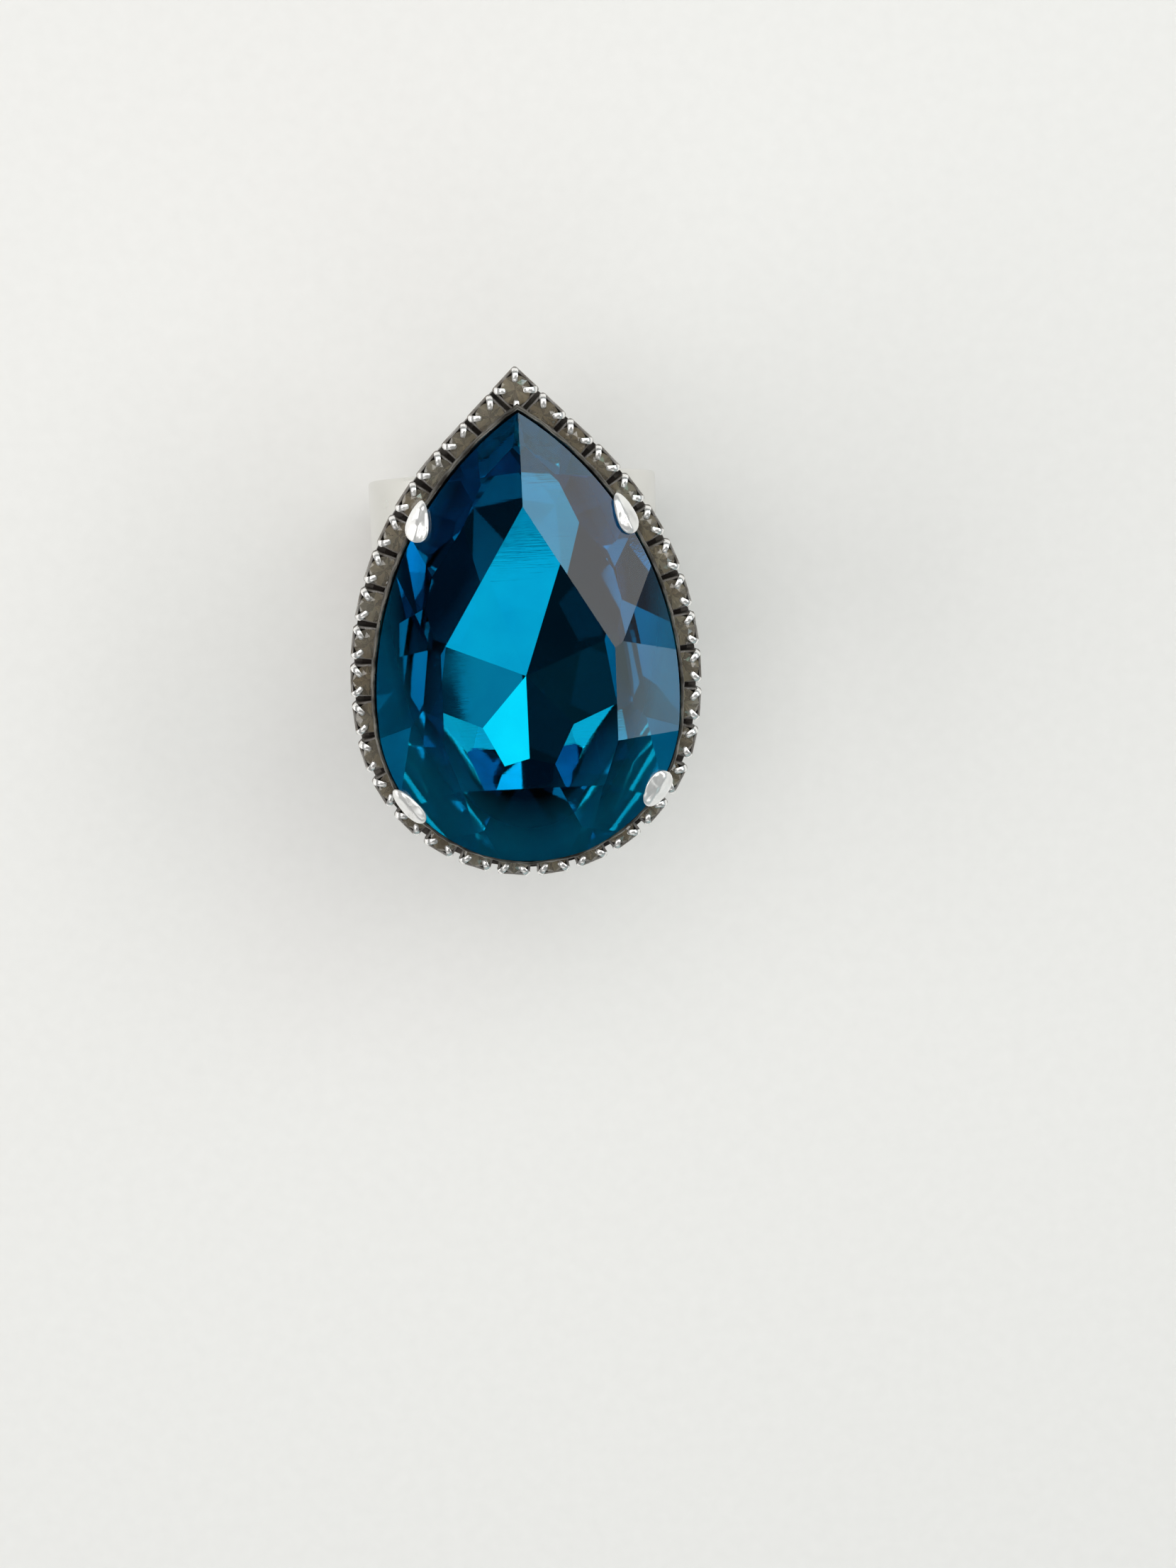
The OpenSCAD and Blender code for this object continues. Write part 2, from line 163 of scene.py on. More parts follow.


# ---------------------------------------------------------------- band
# The wide open-backed band is rolled silver-plated brass. Inside and out, it keeps fine lines from the
# buffing wheel.
def plated_metal(name, low, high, smooth, rough, grain, along=(1, 1, 1), dent=0.15, dent_size=700):
    """Worn plated metal: a cloudy tone from low to high, buffing lines along one way, small dents."""
    finish = bpy.data.materials.new(name)
    finish.use_nodes = True
    tree = finish.node_tree
    shader = tree.nodes["Principled BSDF"]
    shader.inputs["Metallic"].default_value = 1.0
    place = tree.nodes.new("ShaderNodeTexCoord")
    cloud = tree.nodes.new("ShaderNodeTexNoise")
    cloud.inputs["Scale"].default_value = dent_size * 0.6
    cloud.inputs["Detail"].default_value = 6
    tone = tree.nodes.new("ShaderNodeValToRGB")
    tone.color_ramp.elements[0].position = 0.35
    tone.color_ramp.elements[0].color = low + (1,)
    tone.color_ramp.elements[1].position = 0.62
    tone.color_ramp.elements[1].color = high + (1,)
    sheen = tree.nodes.new("ShaderNodeMapRange")
    sheen.inputs["From Min"].default_value = 0.3
    sheen.inputs["From Max"].default_value = 0.7
    sheen.inputs["To Min"].default_value = rough
    sheen.inputs["To Max"].default_value = smooth
    stretch = tree.nodes.new("ShaderNodeMapping")
    stretch.inputs["Scale"].default_value = along
    lines = tree.nodes.new("ShaderNodeTexNoise")
    lines.inputs["Scale"].default_value = grain
    lines.inputs["Detail"].default_value = 5
    dents = tree.nodes.new("ShaderNodeTexNoise")
    dents.inputs["Scale"].default_value = dent_size
    dents.inputs["Detail"].default_value = 2
    fine = tree.nodes.new("ShaderNodeBump")
    fine.inputs["Strength"].default_value = 0.25
    fine.inputs["Distance"].default_value = 0.02 * mm
    coarse = tree.nodes.new("ShaderNodeBump")
    coarse.inputs["Strength"].default_value = dent
    coarse.inputs["Distance"].default_value = 0.3 * mm
    link = tree.links.new
    link(place.outputs["Object"], cloud.inputs["Vector"])
    link(place.outputs["Object"], dents.inputs["Vector"])
    link(place.outputs["Object"], stretch.inputs["Vector"])
    link(stretch.outputs["Vector"], lines.inputs["Vector"])
    link(cloud.outputs["Fac"], tone.inputs["Fac"])
    link(cloud.outputs["Fac"], sheen.inputs["Value"])
    link(tone.outputs["Color"], shader.inputs["Base Color"])
    link(sheen.outputs["Result"], shader.inputs["Roughness"])
    link(lines.outputs["Fac"], fine.inputs["Height"])
    link(dents.outputs["Fac"], coarse.inputs["Height"])
    link(coarse.outputs["Normal"], fine.inputs["Normal"])
    link(fine.outputs["Normal"], shader.inputs["Normal"])
    return finish


def pour(form, rings):
    """Joins rings of corners, one after the other, and returns the first and last ring."""
    rows = [[form.verts.new(p) for p in ring] for ring in rings]
    for low, high in zip(rows, rows[1:]):
        n = len(low)
        for i in range(n):
            form.faces.new((low[i], low[(i + 1) % n], high[(i + 1) % n], high[i]))
    return rows[0], rows[-1]


def settle(form, name, finishes, smooth=35):
    """Turns a form in millimetres into a piece in metres, smooth where its faces turn gently."""
    bmesh.ops.recalc_face_normals(form, faces=form.faces)
    form.transform(Matrix.Scale(mm, 4))
    for face in form.faces:
        face.smooth = smooth > 0
    for edge in form.edges:
        if len(edge.link_faces) == 2 and edge.calc_face_angle(0) > math.radians(smooth):
            edge.smooth = False
    mesh = bpy.data.meshes.new(name)
    form.to_mesh(mesh)
    form.free()
    for finish in finishes:
        mesh.materials.append(finish)
    piece = bpy.data.objects.new(name, mesh)
    scene.collection.objects.link(piece)
    return piece


band_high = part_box("band")[1]
band_out = band_high.x / mm
band_thick = 1.0
band_joint = band_high.z / mm
band_half_wide = band_high.y / mm
band_half_end = 7.4
band_gap = 5.0
band_soft = 0.3
end_round = 1.6


def band_half(height):
    share = (height + band_out) / (band_joint + band_out)
    return band_half_end + (band_half_wide - band_half_end) * share


def band_slice(a, shut):
    """The band's section at an angle round the finger, drawn in by an amount near its open end."""
    way = Vector((math.cos(a), 0, math.sin(a)))
    middle = band_out - band_thick / 2
    half = band_half(way.z * middle) - shut - 0.02
    ring = []
    for side_y, side_r, start in ((1, 1, 0), (-1, 1, 90), (-1, -1, 180), (1, -1, 270)):
        for step in range(5):
            b = math.radians(start + 22.5 * step)
            r = middle + side_r * (band_thick / 2 - band_soft) + band_soft * math.sin(b)
            spot = way * r
            spot.y = side_y * (half - band_soft) + band_soft * math.cos(b)
            spot.z = min(spot.z, band_joint)
            ring.append(spot)
    return ring


end_steps = 8
round_steps = 150
band_form = bmesh.new()
open_angle = math.asin((band_gap / 2 + 0.02) / band_out)
start_angle = -math.pi / 2 + open_angle
turn_total = 2 * math.pi - 2 * open_angle
round_angle = end_round / band_out
sections = []
for i in range(end_steps + 1):
    b = math.pi / 2 * i / end_steps
    sections.append((start_angle + round_angle * (1 - math.cos(b)), end_round * (1 - math.sin(b))))
for i in range(1, round_steps):
    turn = (turn_total - 2 * round_angle) * i / round_steps
    sections.append((start_angle + round_angle + turn, 0.0))
sections += [(-math.pi - a, shut) for a, shut in sections[end_steps::-1]]
band_start, band_finish = pour(band_form, [band_slice(a, shut) for a, shut in sections])
band_form.faces.new(band_start[::-1])
band_form.faces.new(band_finish)

buffed_silver = plated_metal(
    "buffed_silver", (0.74, 0.73, 0.69), (0.86, 0.85, 0.82), 0.22, 0.30, 900, (0.05, 4, 0.05), 0.04, 160
)
band_strip = settle(band_form, "band_strip", [buffed_silver], 40)
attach(band_strip, "root")
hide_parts("band")


# ---------------------------------------------------------------- crystal
# The pear-cut crystal is pressed glass with polished facets, ground one after the other. Its
# pavilion is backed with a mirror foil that has gone dull towards the edge.
stone_low, stone_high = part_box("crystal")
stone_length = (stone_high.y - stone_low.y) / mm
stone_width = 20.0
stone_deep = 6.0
stone_edge = 0.4
girdle_z = stone_low.z / mm + stone_deep
table_z = stone_high.z / mm - girdle_z
pear_r = stone_width / 2
pear_mid = pear_r - stone_length / 2
pear_tip = stone_length / 2
pear_lean = math.radians(4.8)
pear_run = pear_tip - pear_mid
flank_k = (pear_run**2 - pear_r**2) / (2 * (pear_r + pear_run * math.sin(pear_lean)))
flank_r = flank_k + pear_r
flank_x = -flank_k * math.cos(pear_lean)
flank_y = pear_mid + flank_k * math.sin(pear_lean)
flank_top = math.atan2(pear_tip - flank_y, -flank_x)


def pear_outline(out, round_steps, flank_steps):
    """The pear's edge moved out by a distance, in millimetres, anticlockwise from its round end."""
    right = []
    for i in range(round_steps):
        a = -math.pi / 2 + (math.pi / 2 - pear_lean) * i / round_steps
        right.append((pear_r + out, a, 0.0, pear_mid))
    end = math.acos(-flank_x / (flank_r + out))
    for i in range(flank_steps + 1):
        a = -pear_lean + (end + pear_lean) * i / flank_steps
        right.append((flank_r + out, a, flank_x, flank_y))
    edge = [(x + r * math.cos(a), y + r * math.sin(a)) for r, a, x, y in right]
    edge[0] = (0.0, edge[0][1])
    edge[-1] = (0.0, edge[-1][1])
    return edge + [(-x, y) for x, y in edge[-2:0:-1]]


def reach_towards(degrees):
    """Distance from the frame's middle to the pear's edge where its outside faces that way."""
    a = math.radians(degrees)
    if a < -pear_lean:
        return pear_r + pear_mid * math.sin(a)
    if a < flank_top:
        return flank_x * math.cos(a) + flank_y * math.sin(a) + flank_r
    return pear_tip * math.sin(a)


def grind(form, spot, outward):
    """Takes away everything past a plane and closes the flat that is left."""
    whole = form.verts[:] + form.edges[:] + form.faces[:]
    cut = bmesh.ops.bisect_plane(
        form, geom=whole, dist=1e-5, plane_co=spot, plane_no=outward, clear_outer=True
    )
    rim = [e for e in cut["geom_cut"] if isinstance(e, bmesh.types.BMEdge)]
    if len(rim) > 2:
        bmesh.ops.contextual_create(form, geom=rim)


def facet_normal(degrees, slope, up):
    a, s = math.radians(degrees), math.radians(slope)
    return Vector((math.sin(s) * math.cos(a), math.sin(s) * math.sin(a), up * math.cos(s)))


def both_sides(facets):
    return list(facets) + [(180 - a, s) for a, s in facets]


crown_facets = [(31, 24), (14, 30.5), (0, 28), (-19, 29.5), (47, 31), (-52, 33)]
culet = Vector((0, -stone_length / 10, -stone_deep))
keel_share = 0.83
keel_slope = math.degrees(math.atan(keel_share * (stone_deep - stone_edge / 2) / (pear_tip - culet.y)))
long_facets = [(48, 1.041), (-12, 1.176), (-68, 1.032)]
edge_facets = [(58, 36), (20, 47.5), (-43, 34), (38, 42), (2, 43), (-20, 43), (-66, 43)]

bottom_crown_slope = 23
bottom_edge_slope = 34
crystal_form = bmesh.new()
blank = [crystal_form.verts.new((x, y, -2 * stone_deep)) for x, y in pear_outline(0, 40, 46)]
blank_face = crystal_form.faces.new(blank)
pushed = bmesh.ops.extrude_face_region(crystal_form, geom=[blank_face])
pushed_verts = [v for v in pushed["geom"] if isinstance(v, bmesh.types.BMVert)]
bmesh.ops.translate(crystal_form, vec=(0, 0, 2 * stone_deep + table_z), verts=pushed_verts)
bmesh.ops.recalc_face_normals(crystal_form, faces=crystal_form.faces)
for degrees, slope in both_sides(crown_facets) + [(-90, bottom_crown_slope)]:
    way = Vector((math.cos(math.radians(degrees)), math.sin(math.radians(degrees)), 0))
    reach = reach_towards(degrees if degrees <= 90 else 180 - degrees)
    grind(crystal_form, way * reach + Vector((0, 0, stone_edge / 2)), facet_normal(degrees, slope, 1))
for degrees, steeper in both_sides(long_facets) + [(90, 1.0)]:
    slope = math.degrees(math.atan(math.tan(math.radians(keel_slope)) * steeper))
    grind(crystal_form, culet, facet_normal(degrees, slope, -1))
for degrees, slope in both_sides(edge_facets) + [(-90, bottom_edge_slope)]:
    way = Vector((math.cos(math.radians(degrees)), math.sin(math.radians(degrees)), 0))
    reach = reach_towards(degrees if degrees <= 90 else 180 - degrees)
    grind(crystal_form, way * reach - Vector((0, 0, stone_edge / 2)), facet_normal(degrees, slope, -1))
bmesh.ops.recalc_face_normals(crystal_form, faces=crystal_form.faces)
crystal_form.normal_update()
for face in crystal_form.faces:
    face.material_index = 1 if face.normal.z < -0.1 else 0
crystal_form.transform(Matrix.Translation((0, 0, girdle_z * mm)) @ Matrix.Scale(mm, 4))


def polish(name, low, high, smooth, rough, scratch, clear):
    """Polished glass or its mirror foil: cloudy tone, hairline scratches and rubbed patches."""
    finish = bpy.data.materials.new(name)
    finish.use_nodes = True
    tree = finish.node_tree
    shader = tree.nodes["Principled BSDF"]
    shader.inputs["IOR"].default_value = 1.52
    shader.inputs["Transmission Weight"].default_value = 1.0 if clear else 0.0
    shader.inputs["Metallic"].default_value = 0.0 if clear else 1.0
    if clear:
        shader.inputs["Specular Tint"].default_value = (0, 0, 0, 1)
        shader.inputs["Coat Weight"].default_value = 1.0
        shader.inputs["Coat Roughness"].default_value = 0.025
        shader.inputs["Coat IOR"].default_value = 1.52
    place = tree.nodes.new("ShaderNodeTexCoord")
    cloud = tree.nodes.new("ShaderNodeTexNoise")
    cloud.inputs["Scale"].default_value = 260
    cloud.inputs["Detail"].default_value = 3
    tone = tree.nodes.new("ShaderNodeValToRGB")
    tone.color_ramp.elements[0].position = 0.35
    tone.color_ramp.elements[0].color = low + (1,)
    tone.color_ramp.elements[1].position = 0.65
    tone.color_ramp.elements[1].color = high + (1,)
    rubbed = tree.nodes.new("ShaderNodeMapRange")
    rubbed.inputs["From Min"].default_value = 0.45
    rubbed.inputs["From Max"].default_value = 0.75
    rubbed.inputs["To Min"].default_value = smooth
    rubbed.inputs["To Max"].default_value = rough
    slant = tree.nodes.new("ShaderNodeMapping")
    slant.inputs["Rotation"].default_value = (0.0, 0.0, 0.6)
    slant.inputs["Scale"].default_value = (0.15, 4.0, 1.0)
    hairline = tree.nodes.new("ShaderNodeTexNoise")
    hairline.inputs["Scale"].default_value = 2200
    hairline.inputs["Detail"].default_value = 2
    groove = tree.nodes.new("ShaderNodeBump")
    groove.inputs["Strength"].default_value = scratch
    groove.inputs["Distance"].default_value = 0.01 * mm
    link = tree.links.new
    link(place.outputs["Object"], cloud.inputs["Vector"])
    link(place.outputs["Object"], slant.inputs["Vector"])
    link(slant.outputs["Vector"], hairline.inputs["Vector"])
    link(cloud.outputs["Fac"], tone.inputs["Fac"])
    link(cloud.outputs["Fac"], rubbed.inputs["Value"])
    link(hairline.outputs["Fac"], groove.inputs["Height"])
    link(tone.outputs["Color"], shader.inputs["Base Color"])
    link(rubbed.outputs["Result"], shader.inputs["Roughness"])
    link(groove.outputs["Normal"], shader.inputs["Normal"])
    return finish


crystal_glass = polish("crystal_glass", (0.006, 0.80, 0.96), (0.010, 0.88, 1.0), 0.014, 0.032, 0.03, True)
crystal_foil = polish("crystal_foil", (0.24, 0.60, 0.88), (0.30, 0.68, 0.95), 0.02, 0.04, 0.05, False)
foil = crystal_foil.node_tree
foil_place = foil.nodes.new("ShaderNodeTexCoord")
foil_spread = foil.nodes.new("ShaderNodeMapping")
foil_spread.vector_type = "TEXTURE"
foil_spread.inputs["Location"].default_value = (0.0, 7.0 * mm, 0.0)
foil_spread.inputs["Scale"].default_value = (10.0 * mm, 22.0 * mm, 1.0)
foil_reach = foil.nodes.new("ShaderNodeVectorMath")
foil_reach.operation = "LENGTH"
foil_wear = foil.nodes.new("ShaderNodeMapRange")
foil_wear.inputs["From Min"].default_value = 0.78
foil_wear.inputs["From Max"].default_value = 0.96
foil_wear.inputs["To Min"].default_value = 1.0
foil_wear.inputs["To Max"].default_value = 0.55
foil.links.new(foil_place.outputs["Object"], foil_spread.inputs["Vector"])
foil.links.new(foil_spread.outputs["Vector"], foil_reach.inputs[0])
foil.links.new(foil_reach.outputs["Value"], foil_wear.inputs["Value"])
foil.links.new(foil_wear.outputs["Result"], foil.nodes["Principled BSDF"].inputs["Metallic"])

crystal_mesh = bpy.data.meshes.new("crystal_cut")
crystal_form.to_mesh(crystal_mesh)
crystal_form.free()
crystal_mesh.materials.append(crystal_glass)
crystal_mesh.materials.append(crystal_foil)
crystal_cut = bpy.data.objects.new("crystal_cut", crystal_mesh)
scene.collection.objects.link(crystal_cut)
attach(crystal_cut, "root")
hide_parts("crystal")


# ---------------------------------------------------------------- setting and claws
# The setting is one silver-plated casting: a closed tray soldered to the band, a wall, a rounded
# rim round the crystal, and four hammered claws folded over the crystal's crown.
rim_lip = 0.38
wall_out = 0.9
wall_in = 2.6
tray_out = 0.25
tray_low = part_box("setting")[0].z / mm
tray_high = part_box("halo_plate")[0].z / mm
tray_floor = tray_low + 0.65
rim_low = girdle_z - 1.3


def pear_ring(out, height, ripple=0.0):
    ring = []
    for x, y in pear_outline(out, 40, 52):
        wobble = ripple * noise.noise(Vector((x * 1.3, y * 1.3, height * 2.0)))
        ring.append((x * (1 + wobble / 15), y * (1 + wobble / 15), height + wobble * 0.6))
    return ring


setting_form = bmesh.new()
tray_bottom, seat_bottom = pour(setting_form, [
    pear_ring(-tray_out - 0.2, tray_low),
    pear_ring(-tray_out - 0.05, tray_low + 0.05),
    pear_ring(-tray_out, tray_low + 0.2),
    pear_ring(-tray_out, tray_high - 0.15),
    pear_ring(-tray_out - 0.04, tray_high - 0.03),
    pear_ring(-tray_out - 0.15, tray_high),
    pear_ring(-wall_out, tray_high),
    pear_ring(-wall_out, rim_low - 0.35),
    pear_ring(-wall_out + 0.15, rim_low - 0.12),
    pear_ring(-wall_out + 0.45, rim_low),
    pear_ring(rim_lip - 0.16, rim_low + 0.02),
    pear_ring(rim_lip - 0.03, rim_low + 0.12, 0.05),
    pear_ring(rim_lip - 0.02, rim_low + 0.3, 0.12),
    pear_ring(rim_lip - 0.04, girdle_z - 0.52, 0.12),
    pear_ring(rim_lip - 0.08, girdle_z - 0.36, 0.12),
    pear_ring(rim_lip - 0.15, girdle_z - 0.28, 0.12),
    pear_ring(0.15, girdle_z - 0.26, 0.08),
    pear_ring(0.09, girdle_z - 0.3, 0.03),
    pear_ring(0.05, girdle_z - 0.4),
    pear_ring(-0.5, girdle_z - 1.3),
    pear_ring(-wall_in, girdle_z - 4.0),
    pear_ring(-wall_in, tray_floor),
])
setting_form.faces.new(tray_bottom[::-1])
setting_form.faces.new(seat_bottom)

claws_form = bmesh.new()
claw_layers = (
    (0.70, -1.6), (0.84, -0.9), (0.95, -0.5), (1.0, -0.28), (1.0, -0.16), (0.97, -0.06),
    (0.90, 0.0), (0.78, 0.04), (0.60, 0.06), (0.38, 0.07), (0.16, 0.07),
)


def hammer_claw(side, degrees, along, length, width, blunt, turn, inward):
    """One claw: a tab, wider at one end, pressed down on the crown, with a root down to the rim."""
    a = math.radians(degrees)
    outward = Vector((math.cos(a), math.sin(a), 0))
    tangent = Vector((-math.sin(a), math.cos(a), 0))
    middle = outward * (reach_towards(degrees) - inward) + tangent * along
    swing = Matrix.Rotation(turn, 3, "Z")
    long_way, wide_way = swing @ tangent, swing @ outward
    steps = 36
    rings = []
    for share, sink in claw_layers:
        ring = []
        for i in range(steps):
            p = 2 * math.pi * i / steps
            bend = math.copysign(abs(math.cos(p)) ** 0.85, math.cos(p))
            t = length / 2 * bend * share
            u = width / 2 * (1 - blunt * bend) * math.sin(p) * share
            spot = middle + wide_way * u + long_way * t
            out = (spot - middle).dot(outward) - inward
            if sink < -0.4 and out < 0.25:
                spot += outward * (0.25 - out)
            crown = min(0.2 - 0.46 * out, 1.2) if out < 0 else 0.2 - 0.75 * out
            ridge = 0.10 * math.exp(-(((u - 0.05) / 0.22) ** 2)) * (share < 0.9)
            dint = 0.07 * noise.noise(Vector((u * 2.4 + degrees, t * 1.7 + side * 9, 3.0))) * (share < 1)
            if sink < -0.4:
                height = sink + 0.1
            else:
                height = crown + 0.34 + sink + ridge + dint
            ring.append((side * spot.x, spot.y, girdle_z + height))
        rings.append(ring)
    bottom, top = pour(claws_form, rings)
    claws_form.faces.new(top)
    claws_form.faces.new(bottom[::-1])


high_along = flank_y * math.cos(math.radians(31.6)) - flank_x * math.sin(math.radians(31.6))
low_along = pear_mid * math.cos(math.radians(-33))
hammer_claw(-1, 31.6, high_along, 2.75, 1.40, 0.42, -0.31, -0.15)
hammer_claw(1, 31.6, high_along, 2.85, 1.25, 0.30, -0.16, -0.15)
hammer_claw(-1, -33, low_along - 0.45, 2.95, 1.20, 0.14, -0.14, -0.10)
hammer_claw(1, -33, low_along, 2.70, 1.70, -0.12, 0.02, 0.05)

# Painted shade: the casting's tray, wall and rim take a near-black copy of its silver, so the rim round
# the crystal reads as a dark gap. The claws of the same casting keep bright silver.
silver_in_painted_shade = plated_metal(
    "silver_in_painted_shade", (0.05, 0.045, 0.04), (0.20, 0.19, 0.17), 0.26, 0.48, 1400, (1, 1, 1), 0.35, 1300
)
bright_silver = plated_metal(
    "bright_silver", (0.86, 0.85, 0.83), (0.97, 0.97, 0.96), 0.13, 0.30, 1400, (1, 1, 1), 0.30, 900
)
bright_silver.node_tree.nodes["Principled BSDF"].inputs["Metallic"].default_value = 0.6
for name, form, finish in (
    ("setting_cast", setting_form, silver_in_painted_shade), ("setting_claws", claws_form, bright_silver)
):
    piece = settle(form, name, [finish], 50)
    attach(piece, "root")
    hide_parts("setting")


# ---------------------------------------------------------------- plate under the cups
# A flat pear-shaped plate lies on the setting's step and carries the cups. Its metal is given near-black
# tones.
def dress(node, finish):
    """Gives a kept solid its finish."""
    for place in bpy.data.objects[node].material_slots:
        place.material = finish


dark_brass = plated_metal(
    "dark_brass", (0.05, 0.045, 0.04), (0.22, 0.20, 0.18), 0.30, 0.50, 1200, (1, 1, 1), 0.25, 900
)
dress("halo_plate", dark_brass)


# ---------------------------------------------------------------- cups and their small stones
# Square pressed cups in one chain down each side, with one more at the point. The metal's colour goes
# by height from near black low on each cup to near white up the prongs. Each stone is smoky glass on
# foil, with alternate sectors of its foil facets painted mostly dark as a painted reflection pattern.
cup_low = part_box("cup_tip")[0].z / mm
cup_high = cup_low + 1.5
cup_depth = 2.3
cups_per_side = 16
stone_crown = 0.35
prong_gap = 0.27
halo_reach = 1.6
halo_r = pear_r + halo_reach - cup_depth / 2
halo_tip = (reach_towards(45) + halo_reach - cup_depth / 2) * math.sqrt(2)
halo_join = math.radians(-10)
halo_k = ((halo_tip - pear_mid) / math.sqrt(2) - halo_r) / (
    1 - (math.cos(halo_join) + math.sin(halo_join)) / math.sqrt(2)
)
halo_arc_r = halo_r + halo_k
halo_arc = Vector((-halo_k * math.cos(halo_join), pear_mid - halo_k * math.sin(halo_join), 0))
straight_run = (halo_arc.x + halo_arc_r / math.sqrt(2)) * math.sqrt(2)
arc_run = halo_arc_r * (math.pi / 4 - halo_join)
round_run = halo_r * (halo_join + math.pi / 2)
cup_pitch = (straight_run + arc_run + round_run) / (cups_per_side + 0.5)
inner_chord = 2 * (halo_r - cup_depth / 2) * math.tan(cup_pitch / halo_r / 2)
cup_width = min(0.9 * cup_pitch, inner_chord - 0.02)
stone_r = 0.423 * min(cup_width, cup_depth) / math.cos(math.radians(22.5))
stone_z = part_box("chaton_tip")[1].z / mm - stone_crown


def halo_turn(run):
    """The way the chain faces at a distance from the pointed cup."""
    if run < straight_run:
        return math.pi / 4
    if run < straight_run + arc_run:
        return math.pi / 4 - (run - straight_run) / halo_arc_r
    return halo_join - (run - straight_run - arc_run) / halo_r


def halo_spot(run):
    """The middle of the chain at a distance from the pointed cup."""
    a = halo_turn(run)
    if run < straight_run:
        return Vector((run / math.sqrt(2), halo_tip - run / math.sqrt(2), 0))
    if run < straight_run + arc_run:
        return halo_arc + halo_arc_r * Vector((math.cos(a), math.sin(a), 0))
    return Vector((halo_r * math.cos(a), pear_mid + halo_r * math.sin(a), 0))


def soft_square(half_x, half_y, corner, height):
    ring = []
    for cx, cy, start in ((1, 1, 0), (-1, 1, 90), (-1, -1, 180), (1, -1, 270)):
        for step in range(4):
            a = math.radians(start + 30 * step)
            x = cx * (half_x - corner) + corner * math.cos(a)
            y = cy * (half_y - corner) + corner * math.sin(a)
            ring.append((x, y, height))
    return ring


def press_cup(form, width, place):
    """One square cup: a bevelled outside, a thin top edge, a well, and a closed bottom."""
    first = len(form.verts)
    hx, hy, bite = cup_depth / 2, width / 2, 0.16
    bottom, well = pour(form, [
        soft_square(hx - 0.22, hy - 0.22, 0.2, cup_low),
        soft_square(hx - 0.10, hy - 0.10, 0.2, cup_low + 0.12),
        soft_square(hx - 0.06, hy - 0.06, 0.2, cup_low + 0.7),
        soft_square(hx - 0.01, hy - 0.01, 0.2, cup_high - 0.3),
        soft_square(hx - 0.01, hy - 0.01, 0.2, cup_high - 0.05),
        soft_square(hx - 0.05, hy - 0.05, 0.18, cup_high),
        soft_square(hx - bite, hy - bite, 0.14, cup_high),
        soft_square(hx - bite - 0.05, hy - bite - 0.05, 0.12, cup_high - 0.1),
        soft_square(hx - 0.6, hy - 0.6, 0.1, cup_high - 0.8),
    ])
    form.faces.new(bottom[::-1])
    form.faces.new(well)
    form.verts.ensure_lookup_table()
    bmesh.ops.transform(form, matrix=place, verts=form.verts[first:])


flat_wire = (
    (1, 0.55), (0.55, 1), (-0.55, 1), (-1, 0.55), (-1, -0.55), (-0.55, -1), (0.55, -1), (1, -0.55),
)


def bend_prong(form, place, turn, lean, tip_in):
    """One prong: a flat wire that rises from a corner and is pressed down over the stone."""
    first = len(form.verts)
    reach = stone_r + prong_gap
    rings = []
    for out, height, wide, thick in (
        (reach, cup_high - 0.5, 0.42, 0.26), (reach + 0.03, stone_z + 0.02, 0.42, 0.26),
        (reach - 0.02, stone_z + 0.22, 0.42, 0.25), (reach - 0.12, stone_z + 0.34, 0.41, 0.22),
        (reach - 0.28, stone_z + 0.39, 0.39, 0.19), (tip_in, stone_z + 0.40, 0.33, 0.15),
        (tip_in - 0.08, stone_z + 0.37, 0.18, 0.08),
    ):
        tilt = min(max((reach - out) / 0.25, 0.0), 1.0) * math.pi / 2
        across = Vector((math.cos(tilt), 0, math.sin(tilt))) * thick / 2
        middle = Vector((out, 0, height))
        rings.append([middle + across * sx + Vector((0, wide / 2 * sy, 0)) for sx, sy in flat_wire])
    bottom, top = pour(form, rings)
    form.faces.new(bottom[::-1])
    form.faces.new(top)
    form.verts.ensure_lookup_table()
    swing = Matrix.Rotation(turn, 4, "Z") @ Matrix.Translation((reach, 0, 0))
    swing = swing @ Matrix.Rotation(lean, 4, "Z") @ Matrix.Translation((-reach, 0, 0))
    bmesh.ops.transform(form, matrix=place @ swing, verts=form.verts[first:])


def stone_ring(form, share, height, corners, offset):
    """Corners spaced round a small stone, at a share of its radius, turned by part of a step."""
    r = share * stone_r
    angles = [2 * math.pi * (i + offset) / corners for i in range(corners)]
    return [form.verts.new((r * math.cos(a), r * math.sin(a), height)) for a in angles]


